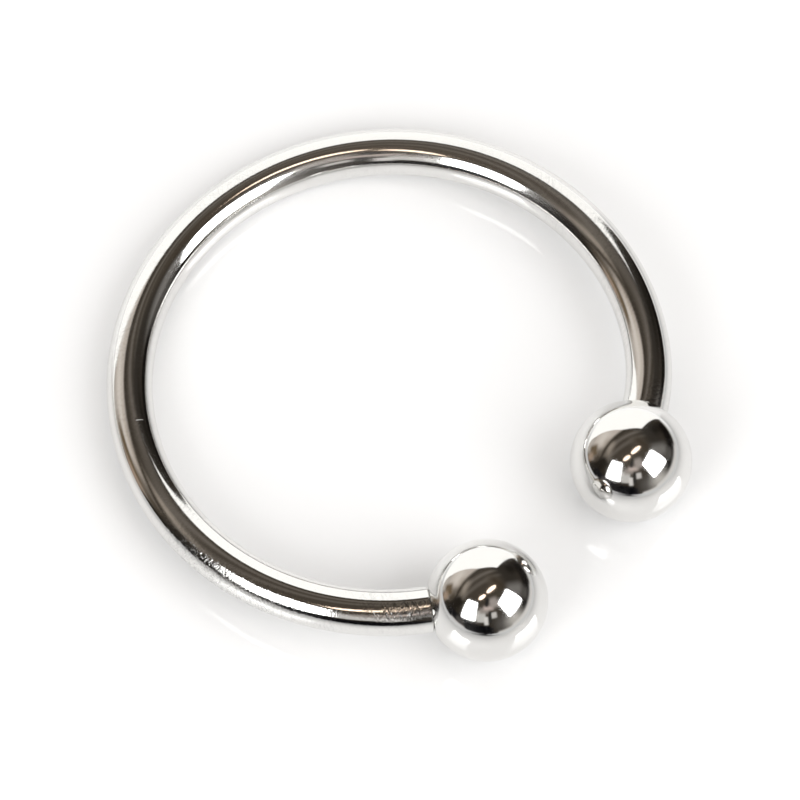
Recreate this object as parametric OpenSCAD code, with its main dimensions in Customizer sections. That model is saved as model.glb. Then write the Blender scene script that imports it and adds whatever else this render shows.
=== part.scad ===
// Horseshoe ring: a round bar bent into an open ring, with a ball screwed on
// each of its two ends. Millimetres, +Z up, the open gap towards -Y.
// The ring lies as it would by itself: on its two balls and on the far side of
// the bar. The origin is on the surface it lies on, below the middle of its box.

/* [Bar] */
// Thickness of the round bar
wire_d = 1.6; // [1.5:0.1:2.4]
// Width of the hollow inside the ring
inner_d = 16.3; // [15:0.1:20]
// Angle from the middle of the gap to the end face of the bar
end_angle = 35.8; // [35:0.1:50]
// How much further the right end is bent in, in degrees
nip = 4.5; // [0:0.1:8]
// Length of the stretch that is bent in further, in degrees of the ring
nip_run = 14; // [8:1:20]
// Chamfer around the rim of each end
chamfer = 0.04; // [0.03:0.01:0.15]

/* [Balls] */
// Diameter of each ball
ball_d = 4.2; // [3.5:0.1:4.8]
// Width of the flat that meets the end of the bar
flat_d = 1.76; // [1.6:0.02:2.6]
// Gap between the flat and the end of the bar
seam = 0.02; // [0:0.01:0.05]

/* [Thread] */
// Diameter of the threaded post on each end of the bar
post_d = 1.16; // [1:0.02:1.2]
// Length of each post past the end of the bar
post_l = 1.5; // [1.2:0.1:1.8]
// Distance from one turn of the thread to the next
pitch = 0.25; // [0.2:0.05:0.3]
// Depth of the thread
thread_depth = 0.13; // [0.08:0.01:0.15]
// Clearance around each post in its bore
clearance = 0.03; // [0.01:0.01:0.08]

/* [Hidden] */
$fn = 96;
bar_steel = [0.74, 0.74, 0.75];
ball_steel = [0.80, 0.80, 0.81];

wire_r = wire_d/2;
ring_r = (inner_d + wire_d)/2;
ball_r = ball_d/2;
overrun = 0.3;

// The stretch that is bent in further keeps its length and turns by nip more
nip_start = end_angle + nip_run;
nip_turn = nip_run + nip;
nip_r = ring_r*nip_run/nip_turn;

// From the centre of a ball to its flat, and to the end face of the bar
flat_h = sqrt(ball_r*ball_r - flat_d*flat_d/4);
ball_h = flat_h + seam;

// Thread: a plain neck, then whole turns, then a chamfered tip
crest_r = post_d/2;
root_r = crest_r - thread_depth;
neck = 0.15;
crest = pitch/5;
flank = pitch*0.35;
turns = floor((post_l - neck)/pitch);
tip = thread_depth/2;
rooted = 0.6;

// Bore in each ball: a little longer than the post, then a drill point
bore_r = crest_r + clearance;
bore_l = post_l + 0.15;
drill_point = bore_r*0.6;
mouth = 0.08;

// A point of the ring's own plane, turned about the ring's centre
function turn(p, a) = [p.x*cos(a) - p.y*sin(a), p.x*sin(a) + p.y*cos(a)];

// The centres of the two balls in the ring's own plane
left_at = turn([ring_r, ball_h], 270 - end_angle);
right_at = turn([ring_r - nip_r, 0] + turn([nip_r, -ball_h], -nip_turn), nip_start - 90);

// The ring is turned in its plane until both balls are as far towards the gap,
// then tilted until the balls and the far side of the bar are equally low
level = atan2(right_at.y - left_at.y, right_at.x - left_at.x);
balls_y = turn(right_at, -level).y;
tilt = asin((ball_r - wire_r)/(ring_r - balls_y));
lift = wire_r + ring_r*sin(tilt);
far_y = ring_r*cos(tilt) + wire_r;
near_y = balls_y*cos(tilt) - ball_r;

// Lays down what is drawn in the ring's plane, with +X on the start of the nip
module lying() {
    translate([0, -(far_y + near_y)/2, lift])
        rotate([-tilt, 0, 0])
            rotate([0, 0, nip_start - 90 - level])
                children();
}

// Each puts what is drawn along +Z on the middle of an end face, facing out
module on_left_end() {
    rotate([0, 0, 360 - nip_start - end_angle])
        translate([ring_r, 0, 0])
            rotate([-90, 0, 0])
                children();
}

module on_right_end() {
    translate([ring_r - nip_r, 0, 0])
        rotate([0, 0, -nip_turn])
            translate([nip_r, 0, 0])
                rotate([90, 0, 0])
                    children();
}

// The bent bar with two square ends
module bent_bar() {
    rotate_extrude(angle = 360 - nip_start - end_angle)
        translate([ring_r, 0])
            circle(r = wire_r);
    mirror([0, 1, 0])
        translate([ring_r - nip_r, 0, 0])
            rotate_extrude(angle = nip_turn)
                translate([nip_r, 0])
                    circle(r = wire_r);
}

// What the chamfer takes off the rim of an end
module rim_cut() {
    rotate_extrude()
        polygon([
            [wire_r - chamfer - overrun, overrun],
            [wire_r + overrun, -chamfer - overrun],
            [wire_r + overrun, overrun]
        ]);
}

// Threaded post, rooted in the bar
module post() {
    thread = [
        for (i = [0 : turns - 1])
            let (z = neck + i*pitch)
                each [
                    [root_r, z],
                    [crest_r, z + flank],
                    [crest_r, z + flank + crest],
                    [root_r, z + 2*flank + crest]
                ]
    ];
    foot = [[0, -rooted], [root_r, -rooted]];
    end = [[root_r, post_l - tip], [root_r - tip, post_l], [0, post_l]];
    rotate_extrude()
        polygon(concat(foot, thread, end));
}

module bar() {
    color(bar_steel)
        lying() {
            difference() {
                bent_bar();
                on_left_end() rim_cut();
                on_right_end() rim_cut();
            }
            on_left_end() post();
            on_right_end() post();
        }
}

// A ball whose flat meets the end face that it is drawn on
module ball() {
    translate([0, 0, seam])
        difference() {
            translate([0, 0, flat_h])
                sphere(r = ball_r);
            translate([0, 0, -ball_r])
                cylinder(r = ball_r, h = ball_r);
            translate([0, 0, -overrun])
                cylinder(r = bore_r, h = bore_l + overrun);
            translate([0, 0, bore_l])
                cylinder(r1 = bore_r, r2 = 0, h = drill_point);
            cylinder(r1 = bore_r + mouth, r2 = bore_r, h = mouth);
        }
}

module ball_left() {
    color(ball_steel)
        lying()
            on_left_end()
                ball();
}

module ball_right() {
    color(ball_steel)
        lying()
            on_right_end()
                ball();
}

bar();
ball_left();
ball_right();
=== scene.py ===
"""Horseshoe ring: the looks of its polished steel bar and its two screwed balls."""

import math

import bmesh
import bpy
from mathutils import Matrix, Vector


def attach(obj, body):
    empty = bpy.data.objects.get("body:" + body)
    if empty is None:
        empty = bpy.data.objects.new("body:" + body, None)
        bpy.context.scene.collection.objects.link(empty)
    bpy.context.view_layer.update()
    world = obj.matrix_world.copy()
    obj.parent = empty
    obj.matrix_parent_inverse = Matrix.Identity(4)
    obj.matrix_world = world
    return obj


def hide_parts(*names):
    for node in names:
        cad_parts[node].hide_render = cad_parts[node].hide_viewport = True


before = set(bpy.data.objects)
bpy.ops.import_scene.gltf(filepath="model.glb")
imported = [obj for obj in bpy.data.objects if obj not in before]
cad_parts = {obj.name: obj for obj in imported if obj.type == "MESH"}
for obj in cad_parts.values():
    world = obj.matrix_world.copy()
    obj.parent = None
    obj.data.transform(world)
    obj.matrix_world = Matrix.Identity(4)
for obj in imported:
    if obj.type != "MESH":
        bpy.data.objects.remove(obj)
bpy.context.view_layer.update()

# Sizes of the ring in millimetres, the same as in the part's source
mm = 0.001
wire_d = 1.6
inner_d = 16.3
end_angle = 35.8
nip = 4.5
nip_run = 14
chamfer = 0.04
ball_d = 4.2
flat_d = 1.76
seam = 0.02
post_d = 1.16
post_l = 1.5
pitch = 0.25
thread_depth = 0.13
clearance = 0.03

wire_r = wire_d / 2
ring_r = (inner_d + wire_d) / 2
ball_r = ball_d / 2
flat_r = flat_d / 2
nip_start = end_angle + nip_run
nip_turn = nip_run + nip
nip_r = ring_r * nip_run / nip_turn
main_turn = 360 - nip_start - end_angle
flat_h = math.sqrt(ball_r**2 - flat_r**2)
ball_h = flat_h + seam

# Thread of each post, its crest and flanks as shares of its pitch, and the bore for it
crest_r = post_d / 2
root_r = crest_r - thread_depth
crest_share = 0.2
flank_share = 0.35
neck = 0.15
tip = thread_depth / 2
bore_r = crest_r + clearance
bore_l = post_l + 0.15
drill_point = bore_r * 0.6
mouth = 0.08
tapped_depth = 0.09

# How far the rim of each ball's flat is softened
rim = 0.015

# The steel: its colours, the grey of the painted shade in worn scratches, the stretch of a
# highlight by its grain, the roughness of the haze from its finest scratches, and the depth of
# its marks in metres
bar_colour = (0.76, 0.755, 0.74, 1.0)
ball_colour = (0.75, 0.745, 0.73, 1.0)
painted_scratch_shade = 0.15
wire_grain = 0.6
bar_haze_roughness = 0.33
ball_haze_roughness = 0.35
mark_depth = 0.00001
ripple_depth = 0.0000006

# Wear of the wire: places along it in millimetres, from the start of the nip, where
# each kind of wear begins and where it is full
main_length = math.radians(main_turn) * ring_r
nip_length = math.radians(nip_turn) * nip_r
left_wear = (main_length - 2.8, main_length - 0.8)
right_wear = (1.3 - nip_length, 0.4 - nip_length)
rubbed_from = (32.4, 34.6)
rubbed_to = (41.0, 36.0)

# Middles of the dull far side and of a nick, in millimetres along the wire, and how far
# the nick is out from the wire's core
dull_along = 13.0
nick_along = 29.2
nick_out = -0.23

# Fineness of the meshes: sides of the wire, degrees from ring to ring along it, sides of
# a ball, rings in each turn of a thread, and the angle in degrees that stays a sharp edge
sides = 72
arc_step = 0.55
ball_sides = 128
rings_per_pitch = 14
sharp_angle = 32

# How near a point is when it counts as on a plane or circle, or on the joint of wire
# and end, and how near two points of that joint are when they are welded
touch = 0.001
joint_reach = 0.02
weld_reach = 0.004


def turned(point, degrees):
    """A point of the ring's own plane, turned about the ring's centre."""
    a = math.radians(degrees)
    x, y = point
    return (x * math.cos(a) - y * math.sin(a), x * math.sin(a) + y * math.cos(a))


def moved(x=0.0, y=0.0, z=0.0):
    return Matrix.Translation((x, y, z))


def turn_about(axis, degrees):
    return Matrix.Rotation(math.radians(degrees), 4, axis)


# How the ring lies by itself: level in its plane, then tilted until its balls and its
# far side are on the floor. The middle is the ring's centre there, in millimetres
left_at = turned((ring_r, ball_h), 270 - end_angle)
nip_end = turned((nip_r, -ball_h), -nip_turn)
right_at = turned((ring_r - nip_r + nip_end[0], nip_end[1]), nip_start - 90)
level = math.degrees(math.atan2(right_at[1] - left_at[1], right_at[0] - left_at[0]))
balls_y = turned(right_at, -level)[1]
tilt = math.degrees(math.asin((ball_r - wire_r) / (ring_r - balls_y)))
lift = wire_r + ring_r * math.sin(math.radians(tilt))
far_y = ring_r * math.cos(math.radians(tilt)) + wire_r
near_y = balls_y * math.cos(math.radians(tilt)) - ball_r
middle = Vector((0, -(far_y + near_y) / 2, lift))

lying = (
    Matrix.Scale(mm, 4)
    @ Matrix.Translation(middle)
    @ turn_about("X", -tilt)
    @ turn_about("Z", nip_start - 90 - level)
)
left_end = turn_about("Z", main_turn) @ moved(x=ring_r) @ turn_about("X", -90)
right_end = (
    moved(x=ring_r - nip_r)
    @ turn_about("Z", -nip_turn)
    @ moved(x=nip_r)
    @ turn_about("X", 90)
)

# The photo's view: the camera's angles and distance, pixels for each millimetre at the
# ring, and the pixel where the ring's centre is
view_azimuth = -49.13
view_elevation = 65.45
view_roll = 2.9
view_distance = 358 * mm
picture_side = 800
picture_scale = 260.01 / ring_r
sensor_width = 36.0
ring_in_picture = (389.12, 379.64)

# Studio: how far off the boxes and lamps are, in metres, how round a box's corners are
# for its width, and how bright what the steel mirrors is, and what lights the floor
reach = 1.0
box_corner = 0.22
box_glare = 9.0
lamp_tone = (2.6, 2.05, 1.6, 1.0)
card_tone = (1.35, 1.335, 1.3, 1.0)
left_level = 4.6
right_level = 3.0
room_low = 0.36
room_high = 0.7

# Room that the steel mirrors: its tones low and high on the walls
low_tone = (0.036, 0.029, 0.022, 1.0)
high_tone = (0.070, 0.057, 0.044, 1.0)

# The floor: how white its board is; the glow painted beyond it as the paper that the steel
# mirrors (beside, brighter behind, and painted shade in front); and where that begins, in metres
# from the ring
board_white = 0.9
painted_paper_glow = 0.75
painted_sweep_glow = 1.3
painted_front_shade = 0.02
board_edge = (0.028, 0.045)
front_edge = (0.03, 0.075)
front_side = (0.035, 0.012)


# Modelling helpers
def begin(operator, **options):
    """Adds a primitive at its size and place, and opens it in edit mode."""
    bpy.ops.object.select_all(action="DESELECT")
    operator(**options)
    bpy.ops.object.transform_apply(location=True, rotation=True, scale=True)
    bpy.ops.object.mode_set(mode="EDIT")
    bpy.ops.mesh.select_mode(type="VERT")


def select_points(wanted):
    """Selects the points whose place passes the test, and what lies between them."""
    bpy.ops.mesh.select_all(action="DESELECT")
    mesh = bpy.context.edit_object.data
    shape = bmesh.from_edit_mesh(mesh)
    for vert in shape.verts:
        vert.select_set(wanted(vert.co))
    shape.select_flush(True)
    bmesh.update_edit_mesh(mesh)


def draw_out(radius, new_radius, rise, height):
    """Extrudes the selected loop or face along Z by rise, to a new radius at that height."""
    bpy.ops.mesh.extrude_region_move(TRANSFORM_OT_translate={"value": (0, 0, rise)})
    scale = new_radius / radius
    bpy.ops.transform.resize(value=(scale, scale, 1), center_override=(0, 0, height))


def follow_profile(profile):
    """Draws the selection out along a profile of (radius, height) stations."""
    for (r0, z0), (r1, z1) in zip(profile, profile[1:]):
        draw_out(r0, r1, z1 - z0, z1)


def lay_down(name, placing):
    """Leaves edit mode, names the piece and puts its place into its mesh."""
    bpy.ops.mesh.select_all(action="SELECT")
    bpy.ops.mesh.normals_make_consistent(inside=False)
    bpy.ops.object.mode_set(mode="OBJECT")
    piece = bpy.context.object
    piece.name = name
    piece.data.name = name
    piece.matrix_world = placing
    bpy.ops.object.transform_apply(location=True, rotation=True, scale=True)
    return piece


def thread_height(x, y, z):
    """How far up the thread's flank a point is, from 0 at the root to 1 at the crest."""
    along = ((z - neck) / pitch - math.atan2(y, x) / math.tau) % 1.0
    flank = min(along, 2 * flank_share + crest_share - along) / flank_share
    share = min(max(flank, 0.0), 1.0)
    return share * share * (3 - 2 * share)


def fade(z, start, end, run):
    """1 between start and end, and 0 a run outside them."""
    return min(max(min(z - start, end - z) / run, 0.0), 1.0)


def cut_thread(piece, start, end, base_r, depth):
    """Moves the rings of points between start and end out along a right-hand helix."""
    for vert in piece.data.vertices:
        x, y, z = vert.co
        radius = math.hypot(x, y)
        if start < z < end and abs(radius - base_r) < touch:
            out = depth * thread_height(x, y, z) * fade(z, start, end, pitch / 2)
            vert.co.x *= (base_r + out) / base_r
            vert.co.y *= (base_r + out) / base_r


def stations(radius, start, end):
    """Rings of one radius, close enough together to hold a thread."""
    count = math.ceil((end - start) / pitch * rings_per_pitch)
    return [(radius, start + (end - start) * i / count) for i in range(count + 1)]


# The bar
def bent_wire():
    """The round wire, bent through the main arc and then the tighter nip at its start.

    A spin turns clockwise about its axis, so the main arc's axis points down.
    """
    begin(
        bpy.ops.mesh.primitive_circle_add,
        vertices=sides,
        radius=wire_r,
        location=(ring_r, 0, 0),
        rotation=(math.pi / 2, 0, 0),
    )
    bpy.ops.mesh.select_all(action="SELECT")
    main = main_turn - math.degrees(chamfer / ring_r)
    bpy.ops.mesh.spin(
        steps=round(main / arc_step),
        angle=math.radians(main),
        center=(0, 0, 0),
        axis=(0, 0, -1),
    )
    select_points(lambda p: abs(p.y) < touch and p.x > 0)
    nipped = nip_turn - math.degrees(chamfer / nip_r)
    bpy.ops.mesh.spin(
        steps=round(nipped / arc_step),
        angle=math.radians(nipped),
        center=(ring_r - nip_r, 0, 0),
        axis=(0, 0, 1),
    )
    bpy.ops.object.mode_set(mode="OBJECT")
    return bpy.context.object


def threaded_end(placing):
    """A chamfered end face with its threaded post, drawn along Z and put on an end."""
    begin(
        bpy.ops.mesh.primitive_circle_add,
        vertices=sides,
        radius=wire_r,
        location=(0, 0, -chamfer),
    )
    bpy.ops.mesh.select_all(action="SELECT")
    thread_end = post_l - tip
    follow_profile(
        [(wire_r, -chamfer), (wire_r - chamfer, 0), (root_r, 0)]
        + stations(root_r, neck / 2, thread_end)
        + [(root_r - tip, post_l), (root_r / 4, post_l)]
    )
    bpy.ops.mesh.extrude_region_move()
    bpy.ops.mesh.merge(type="CENTER")
    bpy.ops.object.mode_set(mode="OBJECT")
    end = bpy.context.object
    cut_thread(end, neck / 2, thread_end, root_r, thread_depth)
    end.matrix_world = placing
    bpy.ops.object.transform_apply(location=True, rotation=True, scale=True)
    return end


def on_joint(point):
    """Whether a point is where the bent wire meets the chamfer of an end."""
    for place in (left_end, right_end):
        local = place.inverted() @ point
        near = abs(local.z + chamfer) < joint_reach
        if near and abs(math.hypot(local.x, local.y) - wire_r) < joint_reach:
            return True
    return False


def unbent(point):
    """Where a point of the bent wire would lie on a straight one: along it, out and up."""
    x, y, z = point
    if y < 0 and x > ring_r / 2:
        angle = math.atan2(y, x - ring_r + nip_r)
        return (angle * nip_r, math.hypot(x - ring_r + nip_r, y) - nip_r, z)
    angle = math.atan2(y, x) % math.tau
    return (angle * ring_r, math.hypot(x, y) - ring_r, z)


def keep_wire_places(wire):
    """Keeps each point's place on the straight wire, in millimetres, for the polish."""
    places = wire.data.attributes.new("wire_place", "FLOAT_VECTOR", "POINT")
    for vert, place in zip(wire.data.vertices, places.data):
        place.vector = unbent(vert.co)


def make_bar():
    """The bent wire, with its two threaded ends welded on."""
    wire = bent_wire()
    ends = [threaded_end(left_end), threaded_end(right_end)]
    bpy.ops.object.select_all(action="DESELECT")
    for part in [wire, *ends]:
        part.select_set(True)
    bpy.context.view_layer.objects.active = wire
    bpy.ops.object.join()
    bpy.ops.object.mode_set(mode="EDIT")
    select_points(on_joint)
    bpy.ops.mesh.remove_doubles(threshold=weld_reach)
    bpy.ops.object.mode_set(mode="OBJECT")
    keep_wire_places(wire)
    bpy.ops.object.mode_set(mode="EDIT")
    return lay_down("polished_bar", lying)


# The balls
def make_ball(name, placing):
    """A ball cut flat, with a softened rim and a countersunk, tapped blind bore."""
    begin(
        bpy.ops.mesh.primitive_uv_sphere_add,
        segments=ball_sides,
        ring_count=ball_sides // 2,
        radius=ball_r,
        location=(0, 0, ball_h),
    )
    bpy.ops.mesh.select_all(action="SELECT")
    bpy.ops.mesh.bisect(
        plane_co=(0, 0, seam),
        plane_no=(0, 0, 1),
        use_fill=True,
        clear_inner=True,
    )
    select_points(lambda p: abs(p.z - seam) < touch)
    bpy.ops.mesh.bevel(offset=rim, segments=2)
    select_points(lambda p: abs(p.z - seam) < touch)
    bore_start = seam + mouth
    bore_end = seam + bore_l
    # The drill point is drawn to its last eighth, which then closes to a point
    last = 1 / 8
    follow_profile(
        [(flat_r - rim, seam), (bore_r + mouth, seam)]
        + stations(bore_r, bore_start, bore_end)
        + [(bore_r * last, bore_end + drill_point * (1 - last))]
    )
    to_point = {"value": (0, 0, drill_point * last)}
    bpy.ops.mesh.extrude_region_move(TRANSFORM_OT_translate=to_point)
    bpy.ops.mesh.merge(type="CENTER")
    bpy.ops.object.mode_set(mode="OBJECT")
    cut_thread(bpy.context.object, bore_start, bore_end, bore_r, tapped_depth)
    bpy.ops.object.mode_set(mode="EDIT")
    return lay_down(name, placing)


# Shader writing
class Field:
    """An output of a node: a value over a surface. Arithmetic on fields adds Math nodes."""

    def __init__(self, shader, socket):
        self.shader = shader
        self.socket = socket

    def __add__(self, other):
        return self.shader.math("ADD", self, other)

    def __radd__(self, other):
        return self.shader.math("ADD", other, self)

    def __sub__(self, other):
        return self.shader.math("SUBTRACT", self, other)

    def __rsub__(self, other):
        return self.shader.math("SUBTRACT", other, self)

    def __mul__(self, other):
        return self.shader.math("MULTIPLY", self, other)

    def __rmul__(self, other):
        return self.shader.math("MULTIPLY", other, self)

    def __truediv__(self, other):
        return self.shader.math("DIVIDE", self, other)

    def __rtruediv__(self, other):
        return self.shader.math("DIVIDE", other, self)

    def __abs__(self):
        return self.shader.math("ABSOLUTE", self)


class Shader:
    """The node tree of a material or of the surroundings."""

    def __init__(self, owner):
        owner.use_nodes = True
        self.tree = owner.node_tree
        self.tree.nodes.clear()

    def node(self, kind, settings=None, values=None, output=0):
        """Adds a node, sets its settings and then its sockets, and returns one output."""
        made = self.tree.nodes.new(kind)
        for key, value in (settings or {}).items():
            setattr(made, key, value)
        for key, value in (values or {}).items():
            if isinstance(value, Field):
                self.tree.links.new(value.socket, made.inputs[key])
            else:
                made.inputs[key].default_value = value
        return Field(self, made.outputs[output]) if made.outputs else made

    def math(self, operation, *values):
        return self.node(
            "ShaderNodeMath", {"operation": operation}, dict(enumerate(values))
        )

    def vector(self, operation, *values, output=0):
        return self.node(
            "ShaderNodeVectorMath",
            {"operation": operation},
            dict(enumerate(values)),
            output,
        )

    def parts(self, vector):
        """The three parts of a vector."""
        return [
            self.node("ShaderNodeSeparateXYZ", None, {0: vector}, axis) for axis in "XYZ"
        ]

    def join(self, x, y, z):
        return self.node("ShaderNodeCombineXYZ", None, {0: x, 1: y, 2: z})

    def noise(self, place, scale=1.0, detail=2.0, roughness=0.5):
        return self.node(
            "ShaderNodeTexNoise",
            None,
            {"Vector": place, "Scale": scale, "Detail": detail, "Roughness": roughness},
        )

    def strokes(self, slant, out, up, closeness, shortness):
        """Short marks across the wire, by how close and how short they are."""
        across = self.join(slant * closeness, out * shortness, up * shortness)
        return self.noise(across, detail=2.0, roughness=0.6)

    def scratches(self, slant, out, up, closeness, shortness):
        """Scratches with clear edges: the higher parts of the marks."""
        marks = self.strokes(slant, out, up, closeness, shortness)
        return self.smooth(marks, 0.5, 0.62)

    def window(self, value, half, edge):
        """1 where a value is within half of zero, falling to 0 over an edge past that."""
        return self.smooth(abs(value), half + edge, half)

    def smooth(self, value, low, high, low_out=0.0, high_out=1.0):
        """A smooth step of a value from low to high."""
        return self.node(
            "ShaderNodeMapRange",
            {"interpolation_type": "SMOOTHSTEP"},
            {
                "Value": value,
                "From Min": low,
                "From Max": high,
                "To Min": low_out,
                "To Max": high_out,
            },
        )

    def blend(self, share, first, second):
        """Mixes two colours, which a Mix node has at sockets 6 and 7."""
        return self.node(
            "ShaderNodeMix",
            {"data_type": "RGBA"},
            {0: share, 6: first, 7: second},
            2,
        )

    def bump(self, height, depth):
        """Relief in the surface, whose height of 1 stands for a depth in metres."""
        return self.node(
            "ShaderNodeBump", None, {"Strength": 1.0, "Distance": depth, "Height": height}
        )

    def glow(self, colour, strength):
        return self.node(
            "ShaderNodeEmission", None, {"Color": colour, "Strength": strength}
        )

    def mix(self, share, first, second):
        """Mixes two surfaces."""
        return self.node("ShaderNodeMixShader", None, {0: share, 1: first, 2: second})

    def cover(self, surface):
        """Gives the material its surface."""
        self.node("ShaderNodeOutputMaterial", None, {"Surface": surface})


def grey(level):
    return (level, level, level, 1.0)


# Finishes
def steel_coat(shader, shade, roughness, grain, normal):
    """One layer of bare steel. Its grain stretches highlights along the wire."""
    return shader.node(
        "ShaderNodeBsdfPrincipled",
        None,
        {
            "Base Color": shade,
            "Metallic": 1.0,
            "Roughness": roughness,
            "Anisotropic": grain,
            "Normal": normal,
        },
    )


def metal(shader, shade, roughness, haze_roughness, grain, normal, haze):
    """Bare steel: a sharp polish, and a share of haze from scratches too fine to see."""
    polish = steel_coat(shader, shade, roughness, grain, normal)
    scratched = steel_coat(shader, shade, haze_roughness, grain, normal)
    shader.cover(shader.mix(haze, polish, scratched))


def polished_bar_steel():
    """Steel polished round the wire, with short crossing marks where it is worn, their colour
    darkened as painted shade.
    """
    material = bpy.data.materials.new("bar_steel_polished_round")
    shader = Shader(material)
    place = shader.node("ShaderNodeAttribute", {"attribute_name": "wire_place"}, output="Vector")
    along, out, up = shader.parts(place)

    # Two sets of scratches that cross, and the fine and coarse lines of polishing
    slanted = shader.scratches(along - out * 0.6 + up * 0.2, out, up, 12.0, 2.4)
    crossing = shader.scratches(along + out * 0.5 - up * 0.3, out, up, 14.0, 3.2)
    marks = slanted * 0.6 + crossing * 0.4
    fine = shader.strokes(along + out * 0.1, out, up, 20.0, 9.0)
    coarse = shader.strokes(along + out * 0.2, out, up, 14.0, 9.0)
    specks = shader.smooth(fine, 0.5, 0.64)

    # Wear on the outer shoulders at both ends, on the outside of the rubbed stretch, and
    # in soft patches all along, with a dull far side
    shoulders = shader.window(out - 0.3, 0.2, 0.15)
    left_worn = shader.smooth(along, *left_wear) * shoulders
    right_worn = shader.smooth(along, *right_wear) * shoulders
    stretch = shader.smooth(along, *rubbed_from) * shader.smooth(along, *rubbed_to)
    rubbed = stretch * shader.smooth(out, 0.1, 0.55)
    patch = shader.noise(shader.join(along * 0.45, out * 0.8, up * 0.8), detail=1.0)
    patchy = shader.smooth(patch, 0.42, 0.7)
    worn = left_worn + right_worn * 0.6 + rubbed * 0.3 + patchy * 0.15
    scars_and_painted_shade = marks * worn
    dull = shader.window(along - dull_along, 4.0, 7.0)

    # One short nick, a little bent
    bend = (out - nick_out) * 0.35
    nick = shader.window(along - nick_along + bend * bend, 0.03, 0.02)
    nick = nick * shader.window(out - nick_out, 0.1, 0.05)

    relief = fine * (worn * 0.3 + 0.05) + coarse * rubbed
    relief = relief - marks * (worn * 0.26 + 0.01) - nick * 0.3
    normal = shader.bump(relief, mark_depth)
    roughness = 0.06 + specks * 0.03 + scars_and_painted_shade * 0.06
    haze = 0.004 + specks * (rubbed * 0.25 + 0.03) + scars_and_painted_shade * 0.05
    haze = haze + rubbed * 0.05 + dull * 0.16
    # Painted shade: worn scratches are real marks, but their darker grey colour stands for
    # scratches that mirror the dark room
    shade = shader.blend(scars_and_painted_shade * 0.9, bar_colour, grey(painted_scratch_shade))
    metal(shader, shade, roughness, bar_haze_roughness, wire_grain, normal, haze)
    return material


def polished_ball_steel():
    """Mirror-polished steel with a breath of haze and the faintest unevenness."""
    material = bpy.data.materials.new("ball_steel_mirror_polish")
    shader = Shader(material)
    place = shader.node("ShaderNodeTexCoord", output="Object")
    breath = shader.noise(place, scale=1100.0, detail=5.0, roughness=0.65)
    ripple = shader.noise(place, scale=1400.0, detail=2.0)
    normal = shader.bump(ripple, ripple_depth)
    roughness = shader.smooth(breath, 0.3, 0.7, 0.07, 0.1)
    haze = shader.smooth(breath, 0.4, 0.7, 0.0, 0.04)
    metal(shader, ball_colour, roughness, ball_haze_roughness, 0.0, normal, haze)
    return material


def glossy_board():
    """The pale board that the ring lies on.

    Past its edge, the steel mirrors a glow painted as matte paper: brighter behind, and painted
    shade in front.
    """
    material = bpy.data.materials.new("gloss_white_board")
    shader = Shader(material)
    place = shader.node("ShaderNodeTexCoord", output="Object")
    grain = shader.noise(place, scale=300.0, detail=3.0)
    board = shader.node(
        "ShaderNodeBsdfPrincipled",
        None,
        {
            "Base Color": grey(board_white),
            "Roughness": shader.smooth(grain, 0.3, 0.7, 0.02, 0.04),
            "IOR": 1.35,
        },
    )
    distance = shader.vector("LENGTH", place, output="Value")
    ahead = shader.vector("DOT_PRODUCT", place, direction(0, 0), output="Value")
    aside = shader.vector("DOT_PRODUCT", place, direction(90, 0), output="Value")
    behind = shader.smooth(ahead / distance, -0.5, -0.9)
    # Painted reflection: glossy rays past the board see a glow for paper, brighter behind, with
    # painted shade in front
    tone = shader.blend(behind, grey(painted_paper_glow), grey(painted_sweep_glow))
    front = shader.smooth(ahead, *front_edge)
    front = front * shader.smooth(abs(aside), *front_side)
    tone = shader.blend(front, tone, grey(painted_front_shade))
    mirrored = shader.node("ShaderNodeLightPath", output="Is Glossy Ray")
    past = shader.smooth(distance, *board_edge) * mirrored
    shader.cover(shader.mix(past, board, shader.glow(tone, 1.0)))
    material.cycles.emission_sampling = "NONE"
    return material


def glowing(name, colour, strength):
    """An even light, as of a lamp's cloth front or a lit card."""
    material = bpy.data.materials.new(name)
    shader = Shader(material)
    shader.cover(shader.glow(colour, strength))
    return material


# The studio. Its places are angles from the photo's view, to the viewer's right, and
# angles above the floor, both in degrees
def direction(azimuth, elevation):
    """The way from the ring to a place in the studio."""
    a = math.radians(azimuth + view_azimuth)
    e = math.radians(elevation)
    return Vector((math.sin(a) * math.cos(e), -math.cos(a) * math.cos(e), math.sin(e)))


def seen_at(azimuth, elevation, turn=0.0, yaw=0.0, nod=0.0):
    """The place of a card seen from the ring, turned about the line of sight and leaning."""
    out = direction(azimuth, elevation)
    aside = Vector((-out.y, out.x, 0)).normalized()
    axes = Matrix((aside, out.cross(aside), out)).transposed().to_4x4()
    lean = turn_about("Z", turn) @ turn_about("Y", yaw) @ turn_about("X", nod)
    return Matrix.Translation(out * reach) @ axes @ lean


def set_up(name, place, finish):
    """Puts what was just modelled in its place in the studio, out of the camera's sight."""
    bpy.ops.object.mode_set(mode="OBJECT")
    card = bpy.context.object
    card.name = name
    card.matrix_world = place
    card.data.materials.append(finish)
    card.visible_camera = False
    return card


def cloth_front(name, width, height):
    """A soft box's bright cloth, dimmer in its last few centimetres."""
    material = bpy.data.materials.new(name)
    shader = Shader(material)
    place = shader.node("ShaderNodeTexCoord", output="Object")
    across, upward, _ = shader.parts(place)

    def within(margin, fall):
        side = shader.window(across, width / 2 - margin, fall)
        return side * shader.window(upward, height / 2 - margin, fall)

    # A dim hem, and the bright cloth inside it
    tone = within(0.02, 0.02) * 0.12 + within(0.045, 0.03) * 0.88
    shader.cover(shader.glow(tone, box_glare))
    return material


def add_soft_box(name, width, height, place, finish):
    """A soft box's front, with rounded corners."""
    begin(bpy.ops.mesh.primitive_plane_add, size=1)
    bpy.ops.mesh.select_all(action="SELECT")
    bpy.ops.transform.resize(value=(width, height, 1), center_override=(0, 0, 0))
    bpy.ops.mesh.bevel(offset=box_corner * width, segments=6, affect="VERTICES")
    return set_up(name, place, finish)


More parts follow.
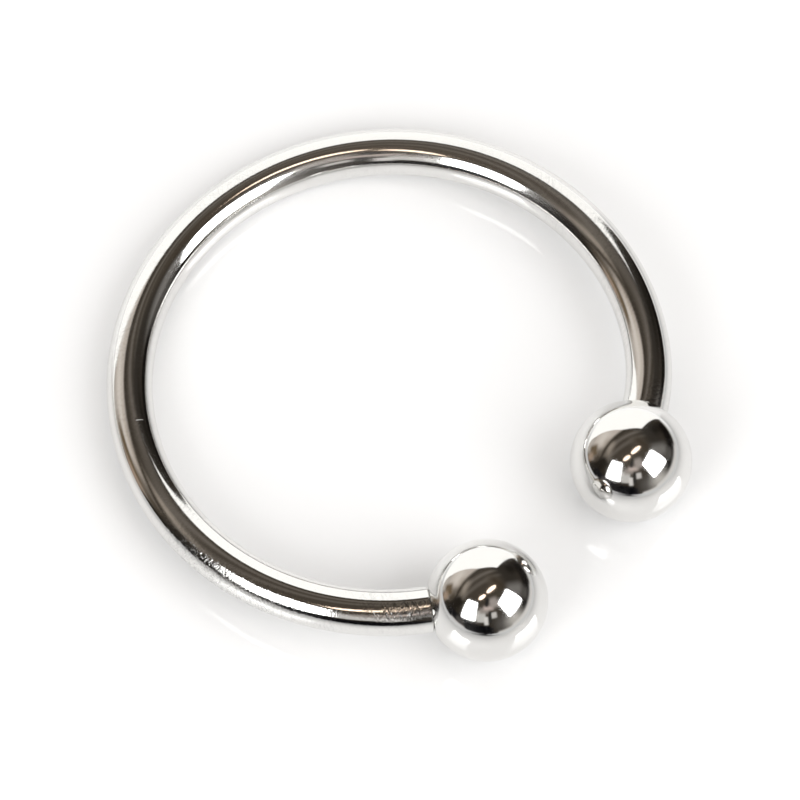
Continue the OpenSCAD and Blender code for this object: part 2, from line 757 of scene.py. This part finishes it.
def add_lamp(name, width, height, place, finish):
    """An oval lamp shade on the ceiling."""
    begin(bpy.ops.mesh.primitive_circle_add, vertices=48, radius=0.5, fill_type="NGON")
    bpy.ops.mesh.select_all(action="SELECT")
    bpy.ops.transform.resize(value=(width, height, 1), center_override=(0, 0, 0))
    return set_up(name, place, finish)


def add_sweep(finish):
    """White card that curves up from the floor behind the ring, its edges cut at a slant.

    It is drawn as the ring sees it, with x to the left and y up, in metres.
    """
    distance = 0.92
    curve = 0.6
    top = 1.12
    right_edge = -0.55
    left_edge = 1.5
    begin(bpy.ops.mesh.primitive_plane_add, size=1)
    bpy.ops.mesh.select_all(action="SELECT")
    bpy.ops.transform.resize(
        value=(left_edge - right_edge, top - curve, 1), center_override=(0, 0, 0)
    )
    bpy.ops.transform.translate(
        value=((left_edge + right_edge) / 2, (top + curve) / 2, 0)
    )
    select_points(lambda p: p.y < (top + curve) / 2)
    bpy.ops.mesh.spin(
        steps=24, angle=math.pi / 2, center=(0, curve, -curve), axis=(-1, 0, 0)
    )
    # Each cut takes away one side of a plane
    for point, side in (
        ((0.62, 1.0, 0), (0.5, 0.78, 0)),
        ((-0.37, 1.0, 0), (-0.2, 1.0, 0)),
        ((-0.415, 0.58, 0), (-0.92, 0.12, -0.415)),
    ):
        bpy.ops.mesh.select_all(action="SELECT")
        bpy.ops.mesh.bisect(plane_co=point, plane_no=side, clear_outer=True)
    out = direction(-178.7, 0)
    leftward = Vector((-out.y, out.x, 0))
    axes = Matrix((leftward, Vector((0, 0, 1)), out)).transposed().to_4x4()
    return set_up("white_sweep", Matrix.Translation(out * distance) @ axes, finish)


def add_floor():
    bpy.ops.object.select_all(action="DESELECT")
    bpy.ops.mesh.primitive_plane_add(size=6)
    floor = bpy.context.object
    floor.name = "pale_floor"
    floor.data.materials.append(glossy_board())


def add_lights():
    """Two soft boxes, two ceiling lamps and the sweep.

    Each soft box is a pair: one that the steel mirrors, and one that lights the floor and
    is spread wider on the right.
    """
    left = seen_at(-39.8, 39.2, 20.1, 5.1, 28.6)
    right = seen_at(65.5, 41.9, 0.1, 1.5, 15.5)
    for name, width, height, spread, place, strength in (
        ("left", 0.465, 0.74, 1.0, left, left_level),
        ("right", 0.68, 0.74, 1.3, right, right_level),
    ):
        cloth = cloth_front(f"cloth_{name}", width, height)
        seen = add_soft_box(f"soft_box_{name}", width, height, place, cloth)
        seen.visible_diffuse = False
        seen.visible_shadow = False
        light = glowing(f"{name}_box_light", grey(1.0), strength)
        lit = add_soft_box(f"fill_{name}", width * spread, height * spread, place, light)
        lit.visible_glossy = False
    lamp_light = glowing("warm_lamp", lamp_tone, 1.0)
    add_lamp("ceiling_lamp_long", 0.39, 0.13, seen_at(69, 82.5, -24), lamp_light)
    add_lamp("ceiling_lamp_short", 0.27, 0.12, seen_at(-26, 69.3, 62), lamp_light)
    add_sweep(glowing("lit_white_card", card_tone, 1.0))


# Soft patches of the dim surroundings, each over the ones before it
patches = [
    # azimuth, elevation, half width, half height, turn, softness, red, green, blue
    # ceiling: bands along the wall, darker to the right
    (-124, 61, 44, 2.5, -22, 4, 0.19, 0.165, 0.142),
    (-118, 74, 44, 3, -28, 4, 0.15, 0.13, 0.11),
    (150, 72, 14, 6, 20, 8, 0.125, 0.105, 0.085),
    (120, 68, 16, 7, 30, 8, 0.060, 0.046, 0.032),
    (130, 42, 30, 16, 0, 12, 0.038, 0.032, 0.026),
    (142, 28, 8, 10, 0, 7, 0.016, 0.013, 0.010),
    (112, 13, 34, 8, 0, 5, 0.008, 0.006, 0.005),
    # haze beside the right box
    (100, 38, 9, 16, 14, 8, 0.21, 0.197, 0.184),
    (98, 18, 9, 7, 0, 6, 0.10, 0.092, 0.084),
    # wall at the left
    (-120, 31, 38, 17, -14, 5, 0.62, 0.55, 0.49),
    (-118, 30, 12, 8, -14, 8, 0.78, 0.71, 0.64),
    (-114, 5, 16, 9, 0, 5, 0.58, 0.53, 0.48),
    (-97, 44, 14, 9, -22, 8, 0.42, 0.36, 0.30),
    (-88, 32, 8, 12, -10, 6, 0.20, 0.17, 0.14),
    (-97, 15, 9, 8, 0, 4, 0.17, 0.125, 0.08),
    (-91, 7, 5, 6, 0, 4, 0.42, 0.31, 0.23),
    (-82, 20, 6, 8, 0, 4, 0.10, 0.08, 0.06),
    # dark strip under the ceiling
    (-120, 50, 48, 3, -20, 3.5, 0.045, 0.035, 0.025),
    (-70, 17, 9, 20, 0, 5, 0.020, 0.016, 0.012),
    # front
    (-28, 7, 42, 10, 0, 2.5, 0.012, 0.011, 0.012),
    (-6, 8, 14, 9, 0, 3, 0.004, 0.004, 0.005),
    (-45, 9, 8, 4, 0, 4, 0.10, 0.09, 0.085),
    (-48, -1, 14, 3, 0, 3, 0.88, 0.84, 0.81),
    # pale patches beside the left box
    (-11, 34, 8, 11, 10, 2, 0.66, 0.64, 0.61),
    (1, 27, 3.5, 8, 6, 2, 0.84, 0.81, 0.78),
    (-6, 46, 9, 5, 10, 4, 0.36, 0.32, 0.29),
    (18, 37, 5, 5.5, 0, 2, 0.72, 0.69, 0.66),
    (6, 52, 9, 4, 0, 4, 0.66, 0.55, 0.50),
    (26, 60, 8, 9, 0, 5, 0.42, 0.37, 0.34),
    (1, 62, 3, 8, -8, 3, 0.02, 0.02, 0.02),
    (9, 34, 2.5, 11, 0, 2, 0.03, 0.028, 0.025),
    # right front
    (34, 16, 14, 14, 0, 14, 0.13, 0.12, 0.11),
    (54, 12, 14, 12, -20, 13, 0.60, 0.57, 0.53),
    (45, 0, 24, 3, 0, 3, 0.80, 0.77, 0.74),
    (80, 1, 34, 5.5, 0, 4, 0.82, 0.79, 0.76),
    (130, 0, 20, 3, 0, 3, 0.84, 0.82, 0.79),
]


def patch_share(sky, ray, azimuth, elevation, half_width, half_height, turn, softness):
    """The share of a soft patch in a direction: 1 inside it and 0 well outside."""
    aside, upright, out = seen_at(azimuth, elevation, turn).to_3x3().transposed()
    depth = sky.vector("DOT_PRODUCT", ray, out, output="Value")
    across = sky.vector("DOT_PRODUCT", ray, aside, output="Value") / depth
    upward = sky.vector("DOT_PRODUCT", ray, upright, output="Value") / depth
    wide = abs(across) - math.tan(math.radians(half_width))
    high = abs(upward) - math.tan(math.radians(half_height))
    soft = math.tan(math.radians(softness))
    within = sky.smooth(wide, soft, -soft) * sky.smooth(high, soft, -soft)
    # Without this the patch would also show in the opposite direction
    return within * sky.math("GREATER_THAN", depth, 0.05)


def light_surroundings():
    """A dim warm room for reflections, an even one for the floor and a pale one to see."""
    world = bpy.data.worlds.new("studio_surroundings")
    bpy.context.scene.world = world
    world.cycles.sampling_method = "NONE"
    sky = Shader(world)
    ray = sky.node("ShaderNodeTexCoord", output="Generated")
    height = sky.node("ShaderNodeSeparateXYZ", None, {0: ray}, output="Z")
    colour = sky.blend(sky.smooth(height, 0.2, 0.9), low_tone, high_tone)
    for *shape, red, green, blue in patches:
        colour = sky.blend(patch_share(sky, ray, *shape), colour, (red, green, blue, 1.0))
    dim = sky.node("ShaderNodeBackground", None, {"Color": colour})
    above = sky.smooth(height, 0.2, 0.85)
    even = sky.blend(above, grey(room_low), grey(room_high))
    even = sky.node("ShaderNodeBackground", None, {"Color": even})
    pale = sky.node("ShaderNodeBackground", None, {"Color": grey(1.0)})
    diffuse = sky.node("ShaderNodeLightPath", output="Diffuse Depth")
    camera = sky.node("ShaderNodeLightPath", output="Is Camera Ray")
    floor_light = sky.math("MINIMUM", diffuse, 1.0)
    seen = sky.mix(camera, sky.mix(floor_light, dim, even), pale)
    sky.node("ShaderNodeOutputWorld", None, {"Surface": seen})


def place_camera():
    """The camera of the photo's view: a long lens that looks steeply down."""
    azimuth = math.radians(view_azimuth)
    level_right = Vector((math.cos(azimuth), math.sin(azimuth), 0))
    back = direction(0, view_elevation)
    roll = Matrix.Rotation(math.radians(view_roll), 3, back)
    right = roll @ level_right
    up = roll @ back.cross(level_right)
    centre = middle * mm
    across = picture_side / 2 - ring_in_picture[0]
    upward = ring_in_picture[1] - picture_side / 2
    aim = centre + (across * right + upward * up) / picture_scale * mm
    data = bpy.data.cameras.new("photo_camera")
    focal_pixels = picture_scale * view_distance / mm
    data.sensor_width = sensor_width
    data.lens = focal_pixels / picture_side * sensor_width
    data.clip_start = 0.01
    data.clip_end = 10.0
    camera = bpy.data.objects.new("photo_camera", data)
    bpy.context.scene.collection.objects.link(camera)
    camera.matrix_world = Matrix.Translation(aim + view_distance * back) @ Matrix(
        (right, up, back)
    ).transposed().to_4x4()
    bpy.context.scene.camera = camera


def finish_piece(piece, body, material):
    """Gives a piece its steel and smooth faces, and lets it stand for its solid."""
    piece.data.materials.append(material)
    bpy.ops.object.select_all(action="DESELECT")
    piece.select_set(True)
    bpy.context.view_layer.objects.active = piece
    bpy.ops.object.shade_smooth_by_angle(angle=math.radians(sharp_angle))
    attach(piece, body)
    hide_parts(body)


bar_steel = polished_bar_steel()
ball_steel = polished_ball_steel()
finish_piece(make_bar(), "bar", bar_steel)
for side, place in (("left", left_end), ("right", right_end)):
    ball = make_ball(f"polished_ball_{side}", lying @ place)
    finish_piece(ball, f"ball_{side}", ball_steel)

place_camera()
add_floor()
add_lights()
light_surroundings()
bpy.context.scene.view_settings.view_transform = "Standard"
